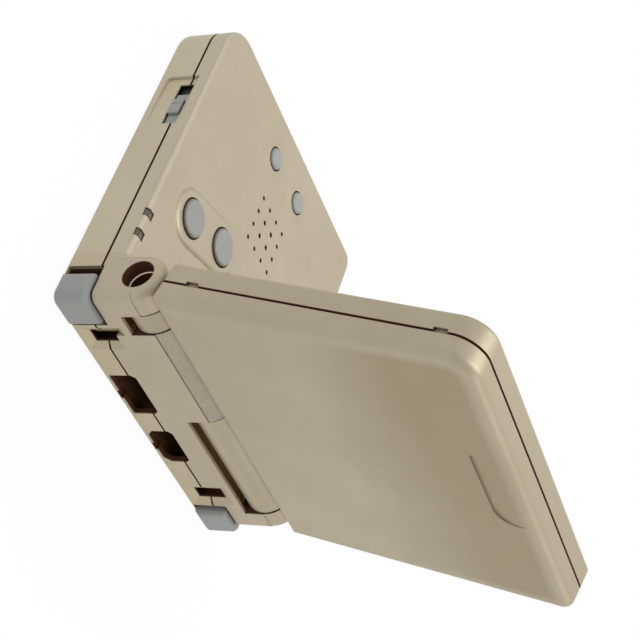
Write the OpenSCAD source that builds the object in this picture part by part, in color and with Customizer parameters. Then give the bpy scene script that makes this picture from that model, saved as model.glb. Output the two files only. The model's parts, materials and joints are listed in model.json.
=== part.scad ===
/* [Base housing] */
// Width of base and lid, along the hinge
body_width = 82; // [76:0.5:92]
// Depth of the base, from its front edge to its rear wall
base_depth = 84.6; // [80:0.2:92]
// Height of the base from the table to its control face
base_height = 14; // [13.6:0.1:14.2]
// Thickness of the moulded walls of the base
base_wall = 1.5; // [1.2:0.1:1.6]
// Radius of the right front corner, seen from above
base_right_corner = 8; // [6:0.5:10]
// Radius of the left front corner, seen from above
base_left_corner = 3.6; // [3:0.2:10]
// Radius of the two rear corners, seen from above
base_rear_corner = 3; // [2.4:0.2:3.6]
// Radius of the edge round the control face
base_top_edge = 1; // [0.8:0.1:2]
// Radius of the edge round the underside
base_bottom_edge = 2; // [1:0.1:2.2]
// Height of the parting line on the sides
side_seam = 9.1; // [8.8:0.1:9.4]
// Height of the parting line on the rear wall
rear_seam = 6.6; // [6.2:0.1:7]
// Height of the groove that shows at each parting line
seam_gap = 0.4; // [0.1:0.05:0.5]
// Depth of that groove
seam_depth = 0.7; // [0.4:0.1:0.8]

/* [Hinge] */
// Distance of the hinge axis in front of the rear wall
hinge_inset = 5.9; // [5.8:0.05:6.2]
// Height of the hinge axis above the table
hinge_height = 18.7; // [18.4:0.1:19.2]
// Outer radius of the knuckles and barrels
barrel_radius = 5.7; // [5.5:0.05:5.8]
// Length of the knuckle at each end of the base
knuckle_length = 6.2; // [5.6:0.1:7]
// Length of the short barrel on the right of the lid
short_barrel = 5.2; // [4.6:0.1:6]
// Length of the covered middle section of the base
centre_length = 29; // [24:0.5:32]
// Running gap between neighbouring barrels
barrel_gap = 0.3; // [0.2:0.05:0.5]
// Radius of the bores that take the hinge cylinder and the bush
hinge_bore = 3.45; // [3:0.05:3.8]
// Radial running fit of the hinge cylinder and the bush
hinge_fit = 0.08; // [0.03:0.01:0.1]
// Radius of the edges at the outer ends of the hinge
knuckle_edge = 2; // [1:0.1:2.2]
// Thickness of the cover over the middle section
centre_cover_wall = 1.2; // [1:0.1:1.4]
// Angle between lid and base as drawn
open_angle = 101.8; // [30:0.2:150]

/* [Lid] */
// Length of the lid from the hinge axis to its front edge
lid_length = 77.1; // [74:0.1:77.6]
// Distance from the hinge axis to the rear edge of the lid
lid_rear_reach = 6.4; // [6.2:0.05:6.8]
// Drop of the inner face below the hinge axis when closed
lid_inner_drop = 4.4; // [3.8:0.05:4.45]
// Rise of the outer face above the hinge axis when closed
lid_outer_rise = 5.6; // [5:0.1:6]
// Rise of the lid's parting line above the hinge axis
lid_seam_rise = 0.7; // [0.4:0.1:1.2]
// Thickness of the moulded walls of the lid
lid_wall = 1.4; // [1:0.1:1.6]
// Radius of the right corner away from the hinge
lid_right_corner = 6.2; // [4.6:0.2:8]
// Radius of the left corner away from the hinge
lid_left_corner = 2.6; // [2.2:0.2:8]
// Radius of the two corners beside the hinge
lid_rear_corner = 0.8; // [0.5:0.1:1.2]
// Radius of the edge round the outer face
lid_outer_edge = 2; // [1:0.1:2]
// Radius of the edge round the inner face
lid_inner_edge = 0.9; // [0.5:0.1:1.2]
// Depth of the tray in the inner face that clears the buttons
tray_depth = 1.7; // [1.4:0.1:1.9]
// Width of the rim round that tray
tray_rim = 3.4; // [3:0.1:3.6]

/* [Screen] */
// Distance from each side of the lid to the picture
screen_side = 10.4; // [10:0.2:13]
// Distance from the front edge of the lid to the picture
screen_front = 13.7; // [13.3:0.1:16]
// Distance from the rear edge of the lid to the picture
screen_rear = 16.2; // [14:0.1:18]
// Margin of the clear lens beyond the picture on each side
lens_margin = 4.4; // [3:0.1:4.8]
// Thickness of the clear lens
lens_thickness = 1; // [0.8:0.1:1.2]
// Thickness of the display panel
display_thickness = 2.4; // [1.8:0.1:2.6]

/* [Buttons] */
// Radius of the two action buttons
action_radius = 4.3; // [3.6:0.05:4.5]
// Distance between the centres of the two action buttons
action_pitch = 14.1; // [12.6:0.1:15]
// Slope of the line through the action buttons
action_slope = 16.6; // [5:0.2:25]
// Radius of the two small round buttons
small_radius = 2.65; // [2.2:0.05:3]
// Distance between the two small round buttons
small_pitch = 15; // [13:0.2:17]
// Distance of the small round buttons from the front edge
small_inset = 11.8; // [10:0.2:13]
// Width of the control cross
cross_width = 19; // [16:0.2:20]
// Width of one arm of the control cross
cross_arm = 6.6; // [5.6:0.1:7.4]
// Travel of the push buttons
button_travel = 0.8; // [0.5:0.05:0.85]
// Gap round each push button
button_gap = 0.3; // [0.12:0.02:0.34]
// Height of the action buttons above the control face
button_proud = 1.3; // [1.2:0.1:2]

/* [Shoulder buttons] */
// Length of each shoulder button along the rear wall
shoulder_length = 7.4; // [7:0.1:8]
// Reach of each shoulder button along the side
shoulder_reach = 5.6; // [5:0.1:6.4]
// Height of the shoulder buttons
shoulder_height = 7.9; // [6.6:0.1:8]
// Height of their lower face above the table
shoulder_low = 1.5; // [1.4:0.05:1.7]
// Distance by which they stand proud of the walls
shoulder_proud = 1.4; // [0.8:0.1:1.6]
// Radius of their outer corner
shoulder_corner = 2.4; // [1.6:0.2:3.4]

/* [Sockets and switches] */
// Distance of each socket from the middle of the rear wall
socket_offset = 9.3; // [9:0.1:10.5]
// Width of the link socket opening
link_width = 13.2; // [11:0.2:13.6]
// Width of the power socket opening
power_width = 11.4; // [10:0.2:13]
// Height of both socket openings
socket_height = 6.4; // [5.6:0.1:6.6]
// Height of their lower edge above the table
socket_low = 1.9; // [1.8:0.1:2.1]
// Width of each strap slot
strap_width = 3.6; // [3:0.1:3.9]
// Height of each strap slot
strap_height = 7; // [6:0.1:7.2]
// Distance of each strap slot from the middle
strap_offset = 28.1; // [27.4:0.1:28.6]
// Length of the opening for each side switch
slot_length = 12.7; // [11:0.1:14]
// Height of the opening for each side switch
slot_height = 3.5; // [3:0.1:3.6]
// Distance of the side switches in front of the middle
slot_place = 14.1; // [12:0.1:16]
// Length of the raised grip on each side switch
grip_length = 4.4; // [3.6:0.1:5]
// Distance of the power grip from the front end of its opening
grip_rest = 5.2; // [4.4:0.1:5.8]
// Travel of the power switch
power_travel = 2.8; // [2:0.1:3]
// Width of the cartridge opening in the front wall
cartridge_width = 58.4; // [50:0.2:59]
// Depth of the cartridge bay
cartridge_depth = 31; // [26:0.5:32]

/* [Speaker] */
// Distance between neighbouring holes of the grille
grille_pitch = 4.1; // [3.4:0.1:4.6]
// Number of holes along each side of the grille
grille_count = 4; // [2:1:5]
// Radius of the holes of the grille
grille_hole = 0.55; // [0.35:0.05:0.8]
// Radius of the speaker
speaker_radius = 10; // [7:0.5:10.5]

/* [Hidden] */
$fn = 48;

// One overrun serves every cut
over = 1;
half_width = body_width / 2;
half_depth = base_depth / 2;
hinge_y = half_depth - hinge_inset;
wall_y = half_depth - base_wall;
wall_x = half_width - base_wall;
base_fronts = [base_right_corner, base_left_corner];
inner_fronts = [base_right_corner - base_wall, base_left_corner - base_wall];
groove_fronts = [base_right_corner - seam_depth, base_left_corner - seam_depth];
ceiling = base_height - base_wall;
floor_top = base_wall;
seat_gap = 0.05;

// Stations along the hinge axis, from right to left
knuckle_in = half_width - knuckle_length;
short_out = knuckle_in - barrel_gap;
short_in = short_out - short_barrel;
centre_right = short_in - barrel_gap;
centre_left = centre_right - centre_length;
long_right = centre_left - barrel_gap;
long_left = -knuckle_in + barrel_gap;

// The cradle below the lid's barrels
cradle_gap = 1.2;
cradle_radius = barrel_radius + cradle_gap;
cradle_floor = hinge_height - cradle_radius - base_wall;
cradle_front = hinge_y - cradle_radius;
cover_rear_share = 0.5;
cover_rear = hinge_height + cover_rear_share * centre_cover_wall;
cover_front = base_height + seat_gap;
block_front = hinge_y - barrel_radius;
centre_bore = barrel_radius - centre_cover_wall;
barrel_step = 0.15;
lid_barrel_radius = barrel_radius - barrel_step;

// Heights inside the base, from the board upwards
board_thickness = 1;
board_gap = 0.1;
board_low = side_seam + board_gap;
board_top = board_low + board_thickness;
flange_thickness = 0.7;
flange_gap = 0.15;
flange_margin = 0.9;
flange_top = ceiling - flange_gap;
flange_low = flange_top - flange_thickness;
membrane_thickness = flange_low - button_travel - seat_gap - board_top;

// Places of the push buttons
b_inset = 27.4;
b_row = 3.8;
b_place = [half_width - b_inset, b_row];
a_place = b_place + action_pitch * [cos(action_slope), sin(action_slope)];
small_row = small_inset - half_depth;
cross_inset = 15.5;
cross_row = 6.5;
cross_place = [cross_inset - half_width, cross_row];
light_inset = 21.8;
light_place = [0, half_depth - light_inset];
light_radius = 2.6;
pad_margin = 2.7;
pad_rise = 0.55;
pad_edge = 1.4;
small_pad_reach = 5.6;
small_pad_rise = 0.5;
dish_margin = 2;
dish_depth = 0.5;
button_dome = 0.7;
cross_height = 1.5;
cross_hub = 0.5;
grille_place = [-0.8, -13.4];
inner_hole_share = 1.15;
grille_inner_hole = inner_hole_share * grille_hole;

// The battery, its bay and its cover
rib = 1;
bay_gap = 0.3;
battery_space_front = 3.3;
battery_space_rear = 17.3;
battery_front = cartridge_depth - half_depth + 5 * rib + battery_space_front;
battery_size = [38, half_depth - battery_space_rear - battery_front, 5.8];
cover_overlap = 2.4;
cover_gap = 0.15;
cover_screw_head = 2;
cover_screw_body = 1;
screw_head = 1.9;
screw_body = 1;
screw_head_height = 1.2;
boss_radius = 2.6;
post_inset = [5, 11.3];
rear_post_inset = [16.4, 18.3];
middle_post_inset = 5;
middle_post_row = -2;
post_x = half_width - post_inset[0];
post_y = half_depth - post_inset[1];
rear_post_x = half_width - rear_post_inset[0];
rear_post_y = half_depth - rear_post_inset[1];
middle_post_x = half_width - middle_post_inset;
screw_places = [
    [-post_x, -post_y], [post_x, -post_y], [-rear_post_x, rear_post_y], [rear_post_x, rear_post_y],
    [-middle_post_x, middle_post_row], [middle_post_x, middle_post_row]
];

// The side switches and the lights
slot_wall = 1;
pocket_margin = 1.6;
knob_plate = 0.9;
knob_gap = 0.15;
grip_proud = 0.6;
grip_gap = 0.25;
switch_body_depth = 2.4;
label_front = 2.5;
label_rear = 0.8;
label_drop = 4.1;
label_top = 0.6;
label_depth = 0.5;
label_step = 0.25;
label_corner = 1.2;
light_pitch = 5.6;
light_window_inset = 23.5;
light_first = half_depth - light_window_inset;
light_length = 2.1;
light_reach = 2.4;
light_drop = 1.1;
light_foot = 2;
light_pipe_gap = 0.12;
light_pipe_set = 0.25;

// The shoulder buttons
shoulder_inner = half_width - shoulder_length;
shoulder_front = half_depth - shoulder_reach;
shoulder_wall = 1.2;
shoulder_gap = 0.5;
shoulder_end_gap = 1.3;
shoulder_swing_gap = 2.8;
pin_radius = 1;
pin_fit = 0.08;
pin_inset = [1.9, 2.45];
pin_x = shoulder_inner + pin_inset[0];
pin_y = half_depth - pin_inset[1];
contact_size = [2.6, 1.6, 3];

// The screws, caps and bumpers of the lid
cap_radius = 2.5;
cap_recess = 2.1;
cap_thickness = 0.5;
cap_gap = 0.1;
bumper_radius = 0.9;
bumper_proud = 0.15;
bumper_inset = 2;
lid_screw_inset = 7;
notch_length = 3;
notch_height = 1.1;
notch_reach = [13.6, 68.7];
tab_length = 22.4;
tab_bend = 4.6;
tab_hook = 0.9;
tab_fade = 7;
tab_inset = 9.1;
tab_groove = 0.4;

// Outline with an edge rounded at the top and at the bottom
module edge_outline(reach, rise, top, low) {
    translate([0, low]) square([reach, rise - top - low]);
    square([reach - low, rise / 2]);
    translate([0, rise / 2]) square([reach - top, rise / 2]);
    intersection() {
        square([reach, rise]);
        union() {
            translate([reach - top, rise - top]) circle(top);
            translate([reach - low, low]) circle(low);
        }
    }
}

// Quarter of a rounded corner
module corner_block(radius, rise, top, low) {
    intersection() {
        rotate_extrude() edge_outline(radius, rise, top, low);
        cube([radius + over, radius + over, rise]);
    }
}

module edge_bar(length, reach, rise, top, low) {
    rotate([90, 0, 0]) linear_extrude(length, center = true) edge_outline(reach, rise, top, low);
}

// Front half of a slab with rounded corners and edges; the corners are given as right and left
module soft_front(width, depth, rise, fronts, top, low) {
    for (side = [0, 1]) {
        mirror([side, 0, 0]) {
            translate([width / 2 - fronts[side], fronts[side] - depth / 2, 0])
                rotate([0, 0, -90]) corner_block(fronts[side], rise, top, low);
            translate([0, fronts[side] / 2 - depth / 4, 0])
                edge_bar(depth / 2 - fronts[side], width / 2, rise, top, low);
        }
    }
    translate([(fronts[1] - fronts[0]) / 2, 0, 0]) rotate([0, 0, -90])
        edge_bar(width - fronts[0] - fronts[1], depth / 2, rise, top, low);
}

// Slab with rounded corners and rounded edges
module soft_slab(width, depth, rise, fronts, rear, top, low) {
    soft_front(width, depth, rise, fronts, top, low);
    for (side = [0, 1]) {
        mirror([side, 0, 0]) {
            translate([width / 2 - rear, depth / 2 - rear, 0]) corner_block(rear, rise, top, low);
            translate([0, depth / 4 - rear / 2, 0]) edge_bar(depth / 2 - rear, width / 2, rise, top, low);
        }
    }
    rotate([0, 0, 90]) edge_bar(width - 2 * rear, depth / 2, rise, top, low);
}

// Slab whose rear corners are mitred, with a small radius seen from above
module square_slab(width, depth, rise, fronts, rear, top, low) {
    soft_front(width, depth, rise, fronts, top, low);
    intersection() {
        union() {
            edge_bar(depth, width / 2, rise, top, low);
            mirror([1, 0, 0]) edge_bar(depth, width / 2, rise, top, low);
        }
        rotate([0, 0, 90]) edge_bar(width + over, depth / 2, rise, top, low);
        linear_extrude(rise) plan(width, depth, [rear, rear], rear);
    }
}

// Plan with its own radius at each front corner and one at both rear corners
module plan(width, depth, fronts, rear) {
    for (side = [0, 1]) {
        mirror([side, 0]) {
            translate([width / 2 - fronts[side], fronts[side] - depth / 2]) circle(fronts[side]);
            translate([width / 2 - rear, depth / 2 - rear]) circle(rear);
            translate([-over, fronts[side] - depth / 2]) square([width / 2 + over, depth - fronts[side] - rear]);
            translate([-over, -depth / 2]) square([width / 2 - fronts[side] + over, depth / 2]);
            translate([-over, 0]) square([width / 2 - rear + over, depth / 2]);
        }
    }
}

// Block between two opposite corners
module span(low, high) {
    translate(low) cube(high - low);
}

module both_sides() {
    children();
    mirror([1, 0, 0]) children();
}

// A piece drawn in the closed lid, with the hinge axis as its origin
module on_lid() {
    translate([0, hinge_y, hinge_height]) rotate([-open_angle, 0, 0]) children();
}

// Cylinder along X between two stations
module rod(from, to, radius) {
    translate([from, 0, 0]) rotate([0, 90, 0]) cylinder(h = to - from, r = radius);
}

module on_axis() {
    translate([0, hinge_y, hinge_height]) children();
}

// Half outline of a pad or cap with a rounded upper edge
module cap_outline(radius, rise, edge) {
    square([radius - edge, rise]);
    square([radius, rise - edge]);
    intersection() {
        square([radius, rise]);
        translate([radius - edge, rise - edge]) circle(edge);
    }
}

module soft_disc(radius, rise, edge) {
    rotate_extrude() cap_outline(radius, rise, edge);
}

// Opening that narrows from the outer face inwards, seen along Y
module flared_slot(width, height, flare, depth) {
    intersection() {
        linear_extrude(height + 2 * flare, center = true)
            polygon([[-width / 2 - flare, over], [-width / 2 - flare, 0], [-width / 2, -depth],
                [width / 2, -depth], [width / 2 + flare, 0], [width / 2 + flare, over]]);
        rotate([0, 90, 0]) linear_extrude(width + 2 * flare, center = true)
            polygon([[-height / 2 - flare, over], [-height / 2 - flare, 0], [-height / 2, -depth],
                [height / 2, -depth], [height / 2 + flare, 0], [height / 2 + flare, over]]);
    }
}

// Outline of a socket opening, with its lower corners cut off
socket_bevel = 1.5;
link_bevel = 0.25;
socket_top_bevel = 0.9;
socket_key = 2.6;
socket_key_drop = 0.7;
module socket_outline(width, lower_bevel) {
    half = width / 2;
    polygon([[-half, lower_bevel], [lower_bevel - half, 0], [half - lower_bevel, 0], [half, lower_bevel],
        [half, socket_height - socket_top_bevel], [half - socket_top_bevel, socket_height],
        [socket_top_bevel - half, socket_height], [-half, socket_height - socket_top_bevel]]);
    translate([-socket_key / 2, -socket_key_drop]) square([socket_key, 2 * socket_key_drop]);
}

module socket_cuts() {
    translate([socket_offset, half_depth + over, socket_low]) rotate([90, 0, 0])
        linear_extrude(base_wall + 2 * over) socket_outline(link_width, link_bevel);
    translate([-socket_offset, half_depth + over, socket_low]) rotate([90, 0, 0])
        linear_extrude(base_wall + 2 * over) socket_outline(power_width, socket_bevel);
}

strap_low = 3.8;
strap_flare = 1.6;
strap_flare_depth = 0.9;
module strap_cuts() {
    both_sides() translate([strap_offset, half_depth, strap_low + strap_height / 2]) {
        cube([strap_width, 2 * base_wall + 2 * over, strap_height], center = true);
        flared_slot(strap_width, strap_height, strap_flare, strap_flare_depth);
    }
}

slot_share = 0.66;
slot_low = side_seam - slot_share * slot_height;
slot_front = -slot_place - slot_length / 2;
slot_rear = slot_front + slot_length;
module side_slot_cuts() {
    both_sides() {
        span([wall_x - over, slot_front, slot_low], [half_width + over, slot_rear, slot_low + slot_height]);
        span([wall_x - over, slot_front - pocket_margin, slot_low - pocket_margin / 2],
            [half_width - slot_wall, slot_rear + power_travel + pocket_margin,
            slot_low + slot_height + pocket_margin / 2]);
    }
}

// Shallow stepped recess round the power switch, which fades towards the rear
module label_cut() {
    label_layer(0, label_step);
    label_layer(label_step, label_depth);
}

module label_layer(inset, depth) {
    front = slot_front - label_front + inset;
    rear = slot_rear + label_rear;
    low = slot_low - label_drop + inset;
    intersection() {
        translate([half_width + over, 0, 0]) rotate([0, -90, 0]) linear_extrude(base_wall + over) {
            translate([low + label_corner, front + label_corner]) circle(label_corner);
            translate([low, front + label_corner]) square([slot_height + label_drop + label_top - inset, rear - front]);
            translate([low + label_corner, front])
                square([slot_height + label_drop + label_top - inset - label_corner, rear - front]);
        }
        linear_extrude(base_height)
            polygon([[half_width - depth, front], [half_width + over, front], [half_width + over, rear],
                [half_width, rear]]);
    }
}

// Corner space of the shoulder buttons
notch_inner = shoulder_inner - shoulder_end_gap;
notch_top = shoulder_low + shoulder_height + shoulder_gap;
notch_depth = 3;
module shoulder_notches() {
    both_sides() {
        span([notch_inner, half_depth - notch_depth - shoulder_gap, shoulder_low - shoulder_gap / 2],
            [half_width + over, half_depth + over, notch_top]);
        span([half_width - notch_depth - shoulder_gap, shoulder_front - shoulder_swing_gap,
            shoulder_low - shoulder_gap / 2], [half_width + over, half_depth + over, notch_top]);
    }
}

// Walls behind the shoulder buttons, which close the housing there
module shoulder_walls(low, high) {
    both_sides() {
        span([notch_inner - base_wall, half_depth - notch_depth - shoulder_gap - base_wall, low],
            [half_width - notch_depth - shoulder_gap, half_depth - notch_depth - shoulder_gap, high]);
        span([half_width - notch_depth - shoulder_gap - base_wall,
            shoulder_front - shoulder_swing_gap - base_wall, low],
            [half_width - notch_depth - shoulder_gap, half_depth - notch_depth - shoulder_gap, high]);
        span([half_width - notch_depth - shoulder_gap - base_wall,
            shoulder_front - shoulder_swing_gap - base_wall, low],
            [wall_x + over / 2, shoulder_front - shoulder_swing_gap, high]);
        span([notch_inner - base_wall, half_depth - notch_depth - shoulder_gap - base_wall, low],
            [notch_inner, wall_y + over / 2, high]);
    }
}

// Everything above the parting line, which steps down at the rear
module above_seam(lift) {
    span([-body_width, -base_depth, side_seam + lift], [body_width, base_depth, 2 * hinge_height]);
    span([-notch_inner, wall_y - over / 2, rear_seam + lift], [notch_inner, base_depth, side_seam + over]);
}

// Groove that shows at the parting line
module seam_groove() {
    difference() {
        union() {
            translate([0, 0, side_seam]) linear_extrude(seam_gap)
                square([body_width + over, base_depth + over], center = true);
            translate([0, half_depth, rear_seam + seam_gap / 2])
                cube([2 * notch_inner, 2 * seam_depth, seam_gap], center = true);
        }
        translate([0, 0, rear_seam]) linear_extrude(side_seam) plan(body_width - 2 * seam_depth,
            base_depth - 2 * seam_depth, groove_fronts, base_rear_corner - seam_depth);
        span([-notch_inner, wall_y - over, side_seam - over / 2],
            [notch_inner, base_depth, side_seam + over]);
    }
}

// End knuckle with its rounded outer rim, standing on the base
module knuckle() {
    straight = knuckle_length - knuckle_edge;
    translate([knuckle_in, 0, 0]) rotate([90, 0, 90]) linear_extrude(straight) knuckle_profile(0);
    translate([knuckle_in, 0, 0]) rotate([90, 0, 90]) linear_extrude(knuckle_length) knuckle_profile(knuckle_edge);
    on_axis() translate([half_width, 0, 0]) rotate([0, -90, 0]) rotate_extrude()
        translate([barrel_radius - knuckle_edge, knuckle_edge]) circle(knuckle_edge);
    for (y = [half_depth - knuckle_edge, block_front + knuckle_edge]) {
        translate([half_width - knuckle_edge, y, side_seam]) cylinder(h = hinge_height - side_seam, r = knuckle_edge);
    }
}

module knuckle_profile(inset) {
    translate([hinge_y, hinge_height]) circle(barrel_radius - inset);
    translate([block_front + inset, side_seam])
        square([half_depth - block_front - 2 * inset, hinge_height - side_seam]);
}

// Middle section that carries the hinge cover
module centre_section() {
    translate([centre_left, 0, 0]) rotate([90, 0, 90]) linear_extrude(centre_length) difference() {
        union() {
            translate([hinge_y, hinge_height]) circle(barrel_radius);
            translate([cradle_front - base_wall, cradle_floor])
                square([half_depth - cradle_front + base_wall, base_height - cradle_floor]);
            translate([hinge_y, cradle_floor]) square([hinge_inset, cover_rear - cradle_floor]);
        }
        translate([hinge_y, hinge_height]) circle(centre_bore);
        translate([hinge_y - seat_gap, cover_rear]) square([2 * hinge_inset, hinge_height]);
        translate([0, cover_front]) square([hinge_y, hinge_height]);
    }
}

module grille_holes() {
    for (i = [0 : grille_count - 1]) {
        for (j = [0 : grille_count - 1]) {
            inner = min(i, j, grille_count - 1 - i, grille_count - 1 - j) > 0;
            translate([grille_place[0] + (i - (grille_count - 1) / 2) * grille_pitch,
                grille_place[1] + (j - (grille_count - 1) / 2) * grille_pitch, ceiling - over])
                cylinder(h = base_wall + 2 * over, r = inner ? grille_inner_hole : grille_hole, $fn = 16);
        }
    }
}

// Raised pad round the action buttons
module action_pad() {
    reach = action_radius + pad_margin;
    rise = base_wall + pad_rise;
    translate([b_place[0], b_place[1], ceiling]) rotate([0, 0, action_slope]) {
        soft_disc(reach, rise, pad_edge);
        translate([action_pitch, 0, 0]) soft_disc(reach, rise, pad_edge);
        for (side = [0, 1]) {
            mirror([0, side, 0]) rotate([90, 0, 90]) linear_extrude(action_pitch) cap_outline(reach, rise, pad_edge);
        }
    }
}

// Low dome round a small button, with its top as the origin
module small_pad() {
    radius = (small_pad_reach * small_pad_reach + small_pad_rise * small_pad_rise) / (2 * small_pad_rise);
    intersection() {
        translate([0, 0, -radius]) sphere(radius);
        translate([0, 0, -base_wall]) cylinder(h = 2 * base_wall, r = small_pad_reach + small_pad_rise);
    }
}

module button_holes() {
    for (place = [a_place, b_place]) {
        translate([place[0], place[1], ceiling - over])
            cylinder(h = 2 * base_wall + 2 * over, r = action_radius + button_gap);
    }
    for (side = [-1, 1]) {
        translate([side * small_pitch / 2, small_row, ceiling - over])
            cylinder(h = 2 * base_wall + 2 * over, r = small_radius + button_gap);
    }
    translate([light_place[0], light_place[1], ceiling - over])
        cylinder(h = 2 * base_wall + 2 * over, r = light_radius + button_gap);
    translate([cross_place[0], cross_place[1], ceiling - over]) {
        for (turn = [0, 90]) {
            rotate([0, 0, turn]) translate([0, 0, base_wall])
                cube([cross_width + 2 * button_gap, cross_arm + 2 * button_gap, 2 * base_wall + 2 * over],
                    center = true);
        }
    }
    translate([cross_place[0], cross_place[1], base_height - dish_depth])
        cylinder(h = base_wall, r = cross_width / 2 + dish_margin);
}

// Windows for the two lights, across the edge of the control face
module light_windows() {
    for (i = [0, 1]) {
        translate([0, light_first + i * light_pitch, 0]) {
            light_shape(0);
            span([half_width - light_reach, -light_length / 2, ceiling - over],
                [wall_x, light_length / 2, base_height]);
        }
    }
}

// Short band that runs over the edge of the control face and down the side
module light_shape(inset) {
    side = light_length / 2 - inset;
    span([half_width - light_reach + inset, -side, base_height - light_drop + inset],
        [half_width + over, side, base_height + over]);
}

module base_top_housing() {
    color("#c3b59a") difference() {
        union() {
            difference() {
                union() {
                    soft_slab(body_width, base_depth, base_height, base_fronts, base_rear_corner,
                        base_top_edge, base_bottom_edge);
                    span([-notch_inner, wall_y, rear_seam], [notch_inner, half_depth, base_height]);
                }
                translate([0, 0, -over]) linear_extrude(ceiling + over) plan(body_width - 2 * base_wall,
                    base_depth - 2 * base_wall, inner_fronts, base_rear_corner - base_wall);
            }
            span([-knuckle_in, cradle_front - base_wall, cradle_floor], [knuckle_in, half_depth, base_height]);
            both_sides() knuckle();
            shoulder_walls(board_top + seat_gap, ceiling + over / 2);
            action_pad();
            for (side = [-1, 1]) {
                translate([side * small_pitch / 2, small_row, base_height + small_pad_rise]) small_pad();
            }
            for (place = screw_places) {
                translate([place[0], place[1], board_top + seat_gap])
                    cylinder(h = ceiling - board_top, r = boss_radius);
            }
        }
        on_axis() {
            rod(short_in - barrel_gap, knuckle_in, cradle_radius);
            rod(-knuckle_in, centre_left, cradle_radius);
            rod(knuckle_in - over, half_width + over, hinge_bore);
            rod(-half_width + base_wall, -knuckle_in + over, hinge_bore);
        }
        span([centre_left, cradle_front - base_wall - over, base_height],
            [centre_right, half_depth + over, 2 * hinge_height]);
        span([-body_width, -base_depth, -over], [body_width, wall_y - over / 2, side_seam]);
        span([-body_width, -base_depth, -over], [body_width, base_depth, rear_seam]);
        both_sides() span([notch_inner, 0, -over], [body_width, base_depth, side_seam]);
        seam_groove();
        shoulder_notches();
        button_holes();
        grille_holes();
        light_windows();
        side_slot_cuts();
        label_cut();
        socket_cuts();
        strap_cuts();
        for (place = screw_places) {
            translate([place[0], place[1], 0]) cylinder(h = ceiling, r = screw_body);
        }
    }
    color("#c3b59a") centre_section();
}

module hinge_centre_cover() {
    color("#b9a99a") translate([centre_left, 0, 0]) rotate([90, 0, 90]) linear_extrude(centre_length)
        difference() {
            translate([hinge_y, hinge_height]) circle(barrel_radius);
            translate([hinge_y, hinge_height]) circle(centre_bore);
            translate([hinge_y - seat_gap, 0]) square([2 * hinge_inset, cover_rear + seat_gap]);
            square([hinge_y, cover_front + seat_gap]);
        }
}

bay_width = battery_size[0] + 2 * bay_gap;
bay_rear = battery_front + battery_size[1] + 2 * bay_gap;
module battery_opening(gap) {
    span([-bay_width / 2 + cover_overlap / 2 - gap, battery_front + rib - gap, -over],
        [bay_width / 2 - cover_overlap / 2 + gap, bay_rear - rib + gap, floor_top + over]);
}

module base_bottom_housing() {
    bay_x = cartridge_width / 2;
    bay_end = -half_depth + cartridge_depth;
    color("#b9ac88") difference() {
        union() {
            difference() {
                soft_slab(body_width, base_depth, base_height, base_fronts, base_rear_corner,
                    base_top_edge, base_bottom_edge);
                translate([0, 0, floor_top]) linear_extrude(base_height) plan(body_width - 2 * base_wall,
                    base_depth - 2 * base_wall, inner_fronts, base_rear_corner - base_wall);
            }
            shoulder_walls(floor_top, side_seam);
            both_sides() {
                span([bay_x, -half_depth + rib, floor_top], [bay_x + rib, bay_end, board_low - seat_gap]);
                translate([pin_x, pin_y, floor_top - over / 2]) cylinder(h = over, r = pin_radius + rib);
            }
            difference() {
                span([-bay_width / 2 - rib, battery_front - rib, floor_top],
                    [bay_width / 2 + rib, bay_rear + rib, floor_top + battery_size[2]]);
                span([-bay_width / 2, battery_front, floor_top], [bay_width / 2, bay_rear, base_height]);
            }
            for (place = screw_places) {
                translate([place[0], place[1], floor_top - over / 2])
                    cylinder(h = board_low - floor_top + over / 2 - seat_gap, r = boss_radius);
            }
        }
        above_seam(0);
        span([-bay_x, -half_depth - over, floor_top], [bay_x, -half_depth + base_wall + over, base_height]);
        battery_opening(0);
        shoulder_notches();
        side_slot_cuts();
        label_cut();
        socket_cuts();
        strap_cuts();
        both_sides() translate([pin_x, pin_y, floor_top / 2]) cylinder(h = base_wall, r = pin_radius);
        for (place = screw_places) {
            translate([place[0], place[1], -over]) cylinder(h = board_low + over, r = screw_body);
            translate([place[0], place[1], -over]) cylinder(h = screw_head_height + over, r = screw_head);
        }
    }
}

cover_screw_y = battery_front + 2 * rib + cover_screw_head + over;
module battery_cover() {
    color("#b9ac88") difference() {
        intersection() {
            battery_opening(-cover_gap);
            span([-body_width, -base_depth, 0], [body_width, base_depth, floor_top]);
        }
        translate([0, cover_screw_y, -over]) cylinder(h = floor_top + 2 * over, r = cover_screw_body);
        translate([0, cover_screw_y, -over]) cylinder(h = floor_top / 2 + over, r = cover_screw_head);
    }
}

drive_share = 0.2;
module cross_head_screw(head, body, head_height, length) {
    difference() {
        union() {
            cylinder(h = head_height, r = head);
            cylinder(h = length, r = body);
        }
        for (turn = [0, 90]) {
            rotate([0, 0, turn]) cube([head, drive_share * head, head_height], center = true);
        }
    }
}

module battery_cover_screw() {
    color("#8d8f92") translate([0, cover_screw_y, seat_gap])
        cross_head_screw(cover_screw_head - cover_gap, cover_screw_body - cover_gap, floor_top / 2 - seat_gap,
            floor_top - seat_gap);
}

module battery_pack() {
    color("#5b5f66") difference() {
        span([-battery_size[0] / 2, battery_front + bay_gap, floor_top + seat_gap],
            [battery_size[0] / 2, battery_front + bay_gap + battery_size[1], floor_top + battery_size[2]]);
        for (i = [-1 : 1]) {
            translate([i * 2 * rib, battery_front + bay_gap, floor_top + battery_size[2] / 2])
                cube([rib, rib, battery_size[2] / 2], center = true);
        }
    }
}

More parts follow.
